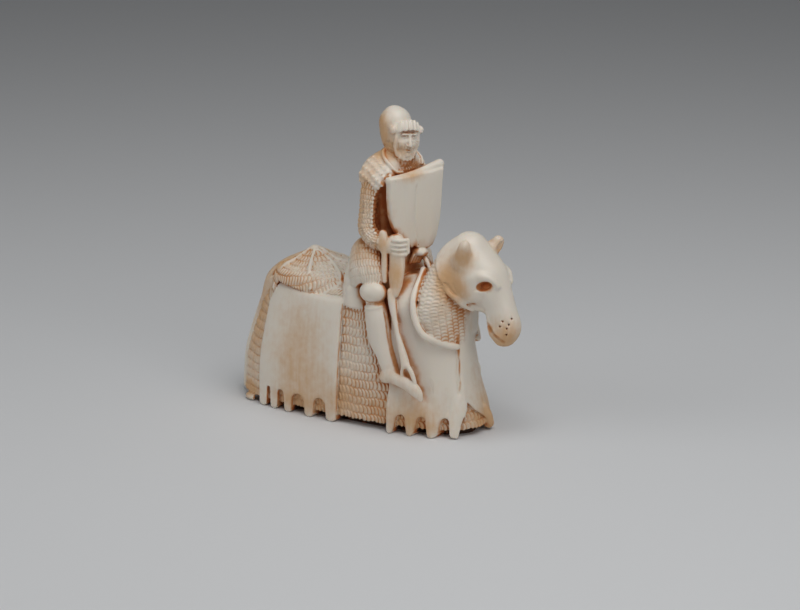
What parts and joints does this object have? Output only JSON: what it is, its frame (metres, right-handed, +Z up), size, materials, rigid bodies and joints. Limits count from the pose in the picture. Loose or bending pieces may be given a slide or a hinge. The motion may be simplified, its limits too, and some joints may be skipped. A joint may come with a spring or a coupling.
{
  "type": "medieval chess piece",
  "caption": "Carved ivory chess knight: an armoured rider with pointed helmet and shield on a horse in plate, mail and cloth that reach the ground.",
  "frame": {"origin": "middle of the piece's outline on the ground it stands on", "axes": "+X to the horse's nose, +Y to the rider's left, +Z up"},
  "size_m": [0.069, 0.024, 0.0669],
  "materials": {
    "ivory": "old ivory, softly polished, with brown dirt in the recesses"
  },
  "bodies": {
    "root": {"knight": "ivory"}
  },
  "joints": []
}
